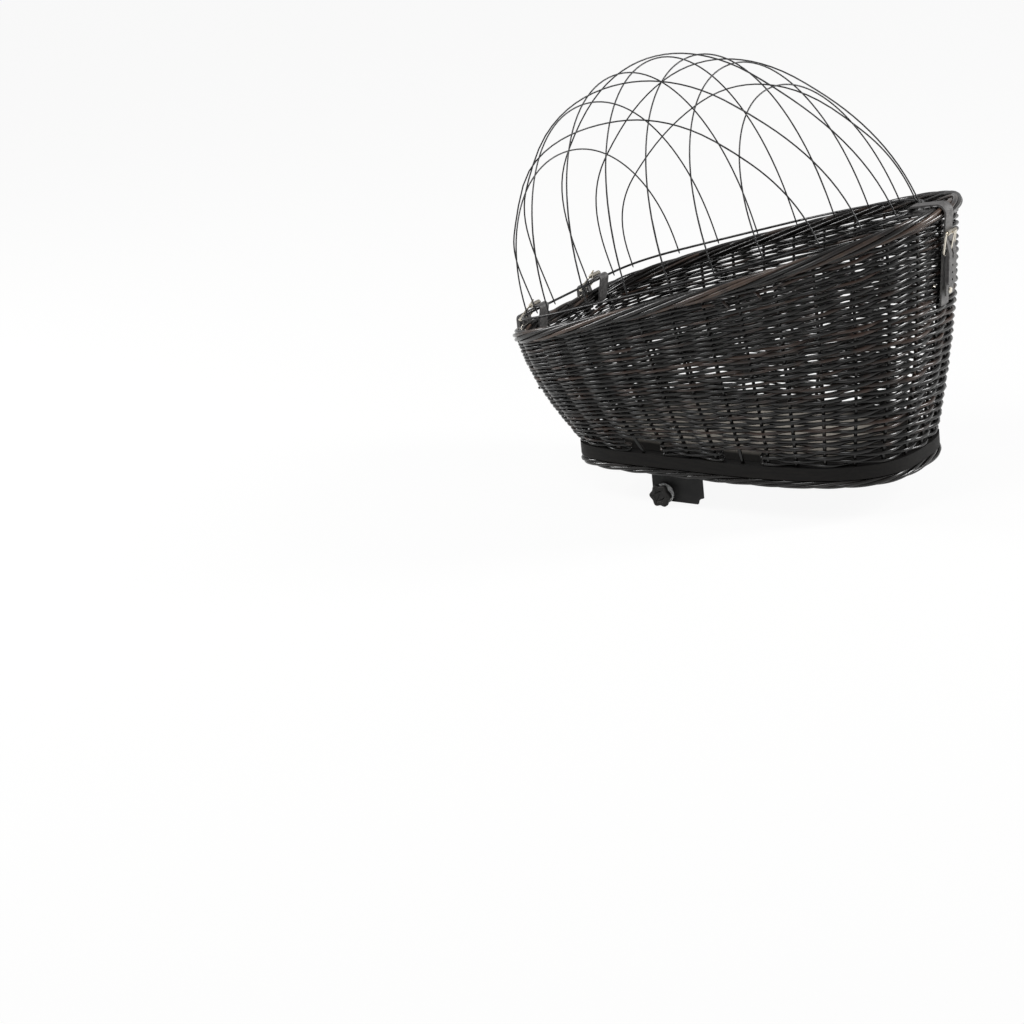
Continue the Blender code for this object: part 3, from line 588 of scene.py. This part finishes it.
row_heights, row_pitches = [], []
for step in range(stake_count * steps_per_stake):
    place = step / steps_per_stake
    room = [row_share(reach, place) * weight for reach, weight in zip(row_reaches, row_weights)]
    pitch = wall_height(place) / sum(room)
    row_pitches.append(pitch)
    row_heights.append([pitch * (sum(room[:row]) + room[row] / 2) for row in range(len(room))])

# Where rows stop at a slot: for each slot and side, each row's last point and the way on from it.
turned_ends = {}


def woven(row, first, last, thickness):
    """Runs of one rod along a row, between two steps, split where a slot or a strap stops it."""
    runs, run, slot_before = [], [], None
    for step in range(first, last + 1):
        at = step % len(row_pitches)
        place = step / steps_per_stake
        near_end = max(1 - min(step - first, last - step) / steps_per_stake, 0)
        offset = math.cos(math.pi * (place + row)) * (1 + end_swing * near_end)
        wave = Vector((place * waver_along, row * waver_upwards, waver_level))
        z = wall_bottom + row_heights[at][row] + waver_height * noise.noise(wave)
        depth = weave_depth - offset * weave_swing + waver_depth * noise.noise(wave + waver_apart)
        point, _ = wall_point(place, z, max(depth, rod_radius))
        packed = min(max(row_pitches[at] * row_weights[row] / usual_pitch, thinnest), thickest)
        share = thickness * packed * (1 - end_taper * near_end)
        slot = slot_at(point)
        if slot or notch_at(point):
            if len(run) >= fewest_points:
                runs.append(run)
                if slot:
                    turned_ends.setdefault((slot, "first"), {})[row] = (run[-1][0], point - run[-1][0])
            run = []
        else:
            if slot_before:
                turned_ends.setdefault((slot_before[0], "last"), {})[row] = (point, slot_before[1] - point)
            run.append((point, share))
        slot_before = (slot, point) if slot else None
    if len(run) >= fewest_points:
        runs.append(run)
    return runs


weave_low, weave_high = [], []
for row, reach in enumerate(row_reaches):
    if reach < stake_count:
        start, end = -reach, reach
    else:
        start = draws.randrange(stake_count)
        end = start + stake_count
        start += (start + row + 1) % 2
        end += (end + row + 1) % 2
    thickness = draws.uniform(*row_thickness)
    while start < end:
        length = min(2 * draws.randint(*rod_stake_pairs), end - start)
        first = round((start - rod_overlap) * steps_per_stake)
        last = round((start + length + rod_overlap) * steps_per_stake)
        runs = woven(row, first, last, thickness * draws.uniform(*rod_thickness))
        (weave_low if row < lower_rows else weave_high).extend(runs)
        start += length

# At each side of a slot the rods turn back, from one row into the next.
bend_reach = 0.0042
bend_steps = 8
bend_share = 0.85
for ends in turned_ends.values():
    for row in range(0, 2 * foot_pairs, 2):
        if row in ends and row + 1 in ends:
            (start, lead), (end, _) = ends[row], ends[row + 1]
            lead = lead.normalized()
            bend = []
            for step in range(bend_steps + 1):
                angle = math.pi * step / bend_steps
                middle = (start + end) / 2 + (start - end) / 2 * math.cos(angle)
                bend.append((middle + lead * bend_reach * math.sin(angle), bend_share))
            weave_low.append(bend)
weave_lower = rods("wall_weave_lower", weave_low, rod_radius, weave_willow)
finish_piece(weave_lower, "basket", "willow", "wicker_wall")
finish_piece(rods("wall_weave_upper", weave_high, rod_radius, weave_willow), "basket", "willow")

stakes = []
for number in range(stake_count):
    _, top = wall_point(number, wall_bottom, weave_depth)
    top += stake_tuck
    stake = []
    for step in range(stake_steps + 1):
        z = wall_bottom - stake_seat + (top - wall_bottom) * step / stake_steps
        point, _ = wall_point(number, z, weave_depth)
        stake.append((point, stake_foot_share - stake_taper * step / stake_steps))
    stakes.append(stake)
finish_piece(rods("wall_stakes", stakes, stake_radius, weave_willow), "basket", "willow")

# Rim border: the stakes' own ends, bent over one after the other and rolled round the edge. Six lie
# side by side at any place, and each slides from the top of the roll down its outside to the bottom.

# The border's willow has lighter tones than the wall's: a painted highlight over the willow's own dark tone.
border_codes_with_highlight = ("0a0908", "1c1918", "4a3b32")
border_willow_with_highlight = varnished_willow("varnished_willow_border_painted_highlight", border_codes_with_highlight, brown_share=0.3, roughness=0.28)
strand_radius = 0.0027
strand_ring = rim_radius - strand_radius
strand_reach = 6
strand_steps = 8
strand_butt = 1.08
strand_tip_share = 0.8
strand_taper = 0.45
strand_wander = 0.16
wander_apart = 1.7
wander_waves = 4
wander_level = 0.5
core_share = 0.8
core_steps = 4
chord_half = 0.05
roll_first = math.radians(125)
roll_last = math.radians(-235)


def round_edge(plan, turns, place, height_at, angle, distance):
    """Point beside a border's middle line: angle 0 is outwards and a quarter turn is up."""
    turn = turn_at(turns, place)
    x, y = plan_point(plan, turn)
    chord = (place - chord_half, place + chord_half)
    behind, ahead = (plan_point(plan, turn_at(turns, end)) for end in chord)
    outwards = Vector((ahead[1] - behind[1], behind[0] - ahead[0])).normalized()
    flat = math.cos(angle) * distance
    return Vector((x + outwards.x * flat, y + outwards.y * flat, height_at(x) + math.sin(angle) * distance))


strands = []
for number in range(stake_count):
    strand = []
    count = strand_reach * strand_steps
    for step in range(count + 1):
        share = step / count
        angle = roll_first + (roll_last - roll_first) * share
        place = number - strand_reach * share
        spot = Vector((number * wander_apart, share * wander_waves, wander_level))
        distance = strand_ring * (1 + strand_wander * noise.noise(spot))
        point = round_edge(rim_plan, head_turns, place, rim_height, angle, distance)
        strand.append((point, (strand_butt - strand_taper * share) * (1 if step else strand_tip_share)))
    strands.append(strand)
rim_strands = rods("rim_strands", strands, strand_radius, border_willow_with_highlight, resolution=3)
finish_piece(rim_strands, "basket", "willow", "rim_border")

# The rods' own bundle fills the middle of the roll.
core = []
for step in range(stake_count * core_steps + 1):
    core.append((round_edge(rim_plan, head_turns, step / core_steps, rim_height, 0, 0), 1))
finish_piece(rods("rim_core", [core], strand_ring * core_share, border_willow_with_highlight), "basket", "willow")

# Butt ends of rods, cut off short, stand out a little under the border and here and there on the wall.
stray_count = 26
stray_root = 0.005
stray_reach = 0.005
stray_reach_shares = (0.4, 1)
stray_drop = (-0.002, 0.006)
stray_lean = (-0.25, 0.25)
under_border = 0.97
on_wall = (0.3, 0.95)
stray_thickness = (0.8, 0.75, 0.6)
strays = []
for number in range(stray_count):
    place = draws.uniform(0, stake_count)
    _, top = wall_point(place, wall_bottom, 0)
    rise = draws.choice((under_border, under_border, draws.uniform(*on_wall)))
    z = wall_bottom + (top - wall_bottom) * rise
    root, _ = wall_point(place, z, stray_root)
    lean = draws.uniform(*stray_lean)
    tip_z = z - draws.uniform(*stray_drop)
    tip, _ = wall_point(place + lean, tip_z, -draws.uniform(*stray_reach_shares) * stray_reach)
    strays.append(list(zip((root, (root + tip) / 2, tip), stray_thickness)))
finish_piece(rods("cut_rod_ends", strays, rod_radius, weave_willow), "basket", "willow")

# Foot border: four rods twisted like a rope round the lower edge of the board, which stand the
# basket off its carrier. They are pinned to the board from below.

foot_radius = 0.0051
foot_inset = 0.0030
foot_rods = 4
foot_rod_radius = 0.0024
foot_lay = 4.25
foot_turns_round = round(stake_count / foot_lay)
foot_steps = 10
foot_waver = 0.0007
foot_twist_waver = 0.5
foot_thickness = 0.96
foot_thickness_waver = 0.12
foot_wave = 1.6
foot_wave_ring = 3
foot_rod_apart = 5.1
foot_plan = grown(board_plan, -foot_inset)


def foot_height(_):
    """Height of the middle of the foot border, the same all round."""
    return foot_radius


foot_rope = []
for number in range(foot_rods):
    strand = []
    for step in range(stake_count * foot_steps + 1):
        place = step / foot_steps
        turned = math.tau * place / stake_count
        ring = (foot_wave_ring * math.cos(turned), foot_wave_ring * math.sin(turned))
        wave = Vector((*ring, number * foot_rod_apart)) * foot_wave
        angle = math.tau * (number / foot_rods + foot_turns_round * place / stake_count)
        angle += foot_twist_waver * noise.noise(wave)
        waver = foot_waver * noise.noise(wave + Vector((0, 7, 0)))
        distance = foot_radius - foot_rod_radius + waver
        point = round_edge(foot_plan, foot_turns, place, foot_height, angle, distance)
        uneven = foot_thickness_waver * noise.noise(wave + Vector((0, 0, 3)))
        strand.append((point, foot_thickness + uneven))
    foot_rope.append(strand)
# The foot rope takes the border's lighter willow tones, a painted highlight.
finish_piece(rods("foot_rope", foot_rope, foot_rod_radius, border_willow_with_highlight), "basket", "willow", "foot_border")

# Wire dome: mild steel wire, bent on a jig, spot-welded where it crosses and coated with black plastic
# powder. The coat is smooth and half-glossy, and rounds the wires evenly.

arch_count = 7
runner_count = 5
wire_flat_angle = math.radians(60)
wire_rounding = 1
coat_roughness = 0.2
painted_specular = 0.25


def coat(material, *nodes):
    """Gives carried-over nodes their finish."""
    for node in nodes:
        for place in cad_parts[node].material_slots:
            place.material = material


def cast_finish(name, dark, light, patch, roughness, grain, relief_height, metallic=0, coating=0):
    """Finish with soft patches of two tones, and a fine relief whose scale is that of its grain."""
    made, tree, surface = new_material(name)
    place = add_node(tree, "ShaderNodeTexCoord").outputs["Object"]
    cloud = add_node(tree, "ShaderNodeTexNoise", {"Vector": place, "Scale": 1 / patch, "Detail": 4})
    tone = add_node(tree, "ShaderNodeValToRGB", {"Fac": cloud.outputs["Fac"]})
    tone.color_ramp.elements[0].position = 0.36
    tone.color_ramp.elements[0].color = colour(dark)
    tone.color_ramp.elements[1].position = 0.66
    tone.color_ramp.elements[1].color = colour(light)
    worn = {"Value": cloud.outputs["Fac"], "From Min": noise_low, "From Max": noise_high}
    worn |= {"To Min": roughness - 0.05, "To Max": roughness + 0.07}
    gloss = add_node(tree, "ShaderNodeMapRange", worn)
    pits = add_node(tree, "ShaderNodeTexNoise", {"Vector": place, "Scale": 1 / grain, "Detail": 2})
    pitted = {"Strength": 0.3, "Distance": relief_height, "Height": pits.outputs["Fac"]}
    relief = add_node(tree, "ShaderNodeBump", pitted)
    inputs = {"Base Color": tone.outputs["Color"], "Roughness": gloss.outputs[0], "Metallic": metallic}
    inputs |= {"Normal": relief.outputs[0], "Coat Weight": coating, "Coat Roughness": coat_roughness}
    if not metallic:
        inputs["Specular IOR Level"] = painted_specular
    shader = add_node(tree, "ShaderNodeBsdfPrincipled", inputs)
    tree.links.new(shader.outputs[0], surface)
    return made


wire_coat = cast_finish(
    "black_powder_coated_wire",
    "1a1a1b",
    "262627",
    patch=0.03,
    roughness=0.36,
    grain=0.004,
    relief_height=0.00001,
    coating=0.2,
)
arches = [f"dome_arch_{number + 1}" for number in range(arch_count)]
runners = [f"dome_runner_{number + 1}" for number in range(runner_count)]
for node in ("dome_ring", *arches, *runners):
    name = node + "_wire"
    refined(node, name, "grille", "wire", wire_coat, 0, flat_angle=wire_flat_angle, levels=wire_rounding)

# Leather straps: black harness leather, 18 mm wide, cut with a strap knife, its edges rubbed round and
# inked. The grain side shows fine creases and is a little greyer where the strap is bent and worn.

leather_edge = 0.0005
leather_code_dark = "4a4949"
leather_code_light = "6d6b6a"
leather_pebble = 0.0011
leather_crease = 0.006

harness_leather, tree, surface = new_material("harness_leather")
place = add_node(tree, "ShaderNodeTexCoord").outputs["Object"]
pebbles = add_node(tree, "ShaderNodeTexVoronoi", {"Vector": place, "Scale": 1 / leather_pebble})
folded = {"Vector": place, "Scale": 1 / leather_crease, "Detail": 6, "Roughness": 0.65}
creases = add_node(tree, "ShaderNodeTexNoise", folded)
tone = add_node(tree, "ShaderNodeValToRGB", {"Fac": creases.outputs["Fac"]})
tone.color_ramp.elements[0].position = 0.38
tone.color_ramp.elements[0].color = colour(leather_code_dark)
tone.color_ramp.elements[1].position = 0.7
tone.color_ramp.elements[1].color = colour(leather_code_light)
summed = {0: pebbles.outputs["Distance"], 1: creases.outputs["Fac"]}
height = add_node(tree, "ShaderNodeMath", summed, operation="ADD")
grained = {"Strength": 0.35, "Distance": 0.0003, "Height": height.outputs[0]}
relief = add_node(tree, "ShaderNodeBump", grained)
worn = {"Value": creases.outputs["Fac"], "From Min": noise_low, "From Max": noise_high}
worn |= {"To Min": 0.38, "To Max": 0.56}
gloss = add_node(tree, "ShaderNodeMapRange", worn)
inputs = {"Base Color": tone.outputs["Color"], "Roughness": gloss.outputs[0]}
inputs |= {"Normal": relief.outputs[0]}
hide = add_node(tree, "ShaderNodeBsdfPrincipled", inputs)
tree.links.new(hide.outputs[0], surface)
for node, body in (
    ("hinge_left_strap", "grille"),
    ("hinge_right_strap", "grille"),
    ("closure_strap", "grille"),
    ("closure_anchor_strap", "basket"),
):
    refined(node, node + "_leather", body, "leather", harness_leather, leather_edge)

# Buckles: frames, prongs and the rivet are brass, and the rollers rolled strip, all nickel-plated in a
# barrel. Nickel is a warm white metal, bright with a few fine scratches.

barrel_nickel = cast_finish(
    "barrel_plated_nickel",
    "cfc8bb",
    "e2dccf",
    patch=0.01,
    roughness=0.2,
    grain=0.0015,
    relief_height=0.00005,
    metallic=1,
)
for buckle in ("hinge_left", "hinge_right", "closure"):
    coat(barrel_nickel, f"{buckle}_buckle_frame", f"{buckle}_roller", f"{buckle}_prong")
coat(barrel_nickel, "closure_rivet")

# Clamps: folded and punched steel plates and jaws under black paint, with zinc-plated screws and nuts.
# The paint is half-matt with a faint orange peel, and the zinc a dull, even grey.

black_steel = cast_finish(
    "black_painted_steel",
    "1c1c1d",
    "2a2a2a",
    patch=0.014,
    roughness=0.42,
    grain=0.0009,
    relief_height=0.00012,
)
zinc_steel = cast_finish(
    "zinc_plated_steel",
    "b9bcbe",
    "d9dbdc",
    patch=0.008,
    roughness=0.4,
    grain=0.0012,
    relief_height=0.00008,
    metallic=1,
)
for side in ("left", "right"):
    coat(black_steel, f"bracket_{side}", f"clamp_jaw_{side}")
    screws = (f"bracket_screw_{side}_1", f"bracket_screw_{side}_2")
    coat(zinc_steel, *screws, f"clamp_nut_{side}", f"clamp_screw_{side}")

# Star knobs: six lobes on a round neck, moulded from black nylon round a brass nut, with softly rounded
# edges and a shallow dish in the face. The neck presses on a plate washer of dull pale zinc.

moulded_nylon = cast_finish(
    "moulded_black_nylon",
    "1f1e1e",
    "2a2928",
    patch=0.01,
    roughness=0.5,
    grain=0.0007,
    relief_height=0.00015,
)
washer_zinc = cast_finish(
    "dull_zinc_plate",
    "d9dbdc",
    "f2f3f3",
    patch=0.008,
    roughness=0.5,
    grain=0.0012,
    relief_height=0.00008,
    metallic=0.15,
)
knob_radius = 0.0145
knob_lobes = 6
knob_lobe_depth = 0.0026
knob_segments = 72
knob_edge = 0.0013
knob_edge_steps = 3
head_height = 0.0065
neck_radius = 0.0065
neck_overlap = 0.001
neck_segments = 32
dish_inset = 0.0035
dish_depth = 0.0005
plate_washer_radius = 0.0125
plate_washer_bore = 0.0034
washer_segments = 48
order_digits = 6


def in_order(shape):
    """Sorts a shape's points, edges and faces by place, so that each run lists them alike."""
    keys = (
        (shape.verts, lambda vert: [round(value, order_digits) for value in vert.co]),
        (shape.edges, lambda edge: sorted(vert.index for vert in edge.verts)),
        (shape.faces, lambda face: sorted(vert.index for vert in face.verts)),
    )
    for items, key in keys:
        ranks = {item: rank for rank, item in enumerate(sorted(items, key=key))}
        items.sort(key=ranks.get)
        items.index_update()


def thickened(shape, thickness):
    """Gives flat faces a thickness upwards, with their normals outwards."""
    raised = bmesh.ops.extrude_face_region(shape, geom=shape.faces[:])
    lifted = [item for item in raised["geom"] if isinstance(item, bmesh.types.BMVert)]
    bmesh.ops.translate(shape, vec=(0, 0, thickness), verts=lifted)
    bmesh.ops.recalc_face_normals(shape, faces=shape.faces)
    in_order(shape)


def turned_part(shape, name, material, foot, outwards):
    """Object of a shape that was built upwards, laid over to point outwards from its foot."""
    lying = Matrix.Translation(foot) @ Matrix.Rotation(-outwards * math.pi / 2, 4, "X")
    bmesh.ops.transform(shape, matrix=lying, verts=shape.verts)
    in_order(shape)
    data = bpy.data.meshes.new(name)
    shape.to_mesh(data)
    shape.free()
    data.materials.append(material)
    data.shade_smooth()
    data.set_sharp_from_angle(angle=sharp_above)
    return bpy.data.objects.new(name, data)


for side, outwards in (("left", -1), ("right", 1)):
    knob_low, knob_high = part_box(f"star_knob_{side}")
    neck_height = knob_high.y - knob_low.y - head_height
    shape = bmesh.new()
    bmesh.ops.create_circle(shape, cap_ends=True, segments=knob_segments, radius=knob_radius)
    for vert in shape.verts:
        dent = knob_lobe_depth * (1 - math.cos(knob_lobes * math.atan2(vert.co.y, vert.co.x))) / 2
        vert.co *= 1 - dent / knob_radius
    thickened(shape, head_height)
    rims = [edge for edge in shape.edges if abs(edge.verts[0].co.z - edge.verts[1].co.z) < merged_within]
    bmesh.ops.bevel(
        shape,
        geom=rims,
        offset=knob_edge,
        segments=knob_edge_steps,
        profile=0.5,
        affect="EDGES",
        material=-1,
    )
    front = max(shape.faces, key=lambda face: face.calc_center_median().z)
    bmesh.ops.inset_region(shape, faces=[front], thickness=dish_inset, depth=0)
    bmesh.ops.inset_region(shape, faces=[front], thickness=dish_depth, depth=-dish_depth)
    bmesh.ops.translate(shape, vec=(0, 0, neck_height), verts=shape.verts)
    bmesh.ops.create_cone(
        shape,
        cap_ends=True,
        segments=neck_segments,
        radius1=neck_radius,
        radius2=neck_radius,
        depth=neck_height + neck_overlap,
        matrix=Matrix.Translation((0, 0, (neck_height + neck_overlap) / 2)),
    )
    centre = (knob_low + knob_high) / 2
    foot = Vector((centre.x, knob_high.y if outwards < 0 else knob_low.y, centre.z))
    knob = turned_part(shape, f"moulded_knob_{side}", moulded_nylon, foot, outwards)
    finish_piece(knob, f"knob_{side}", "plastic", f"star_knob_{side}")

    washer_low, washer_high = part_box(f"clamp_washer_{side}")
    shape = bmesh.new()
    bmesh.ops.create_circle(shape, segments=washer_segments, radius=plate_washer_radius)
    bmesh.ops.create_circle(shape, segments=washer_segments, radius=plate_washer_bore)
    bmesh.ops.bridge_loops(shape, edges=shape.edges[:])
    thickened(shape, washer_high.y - washer_low.y)
    foot.y = washer_high.y if outwards < 0 else washer_low.y
    washer = turned_part(shape, f"plate_washer_{side}", washer_zinc, foot, outwards)
    finish_piece(washer, "basket", "nickel", f"clamp_washer_{side}")

# The end of the scene.

bpy.context.view_layer.update()
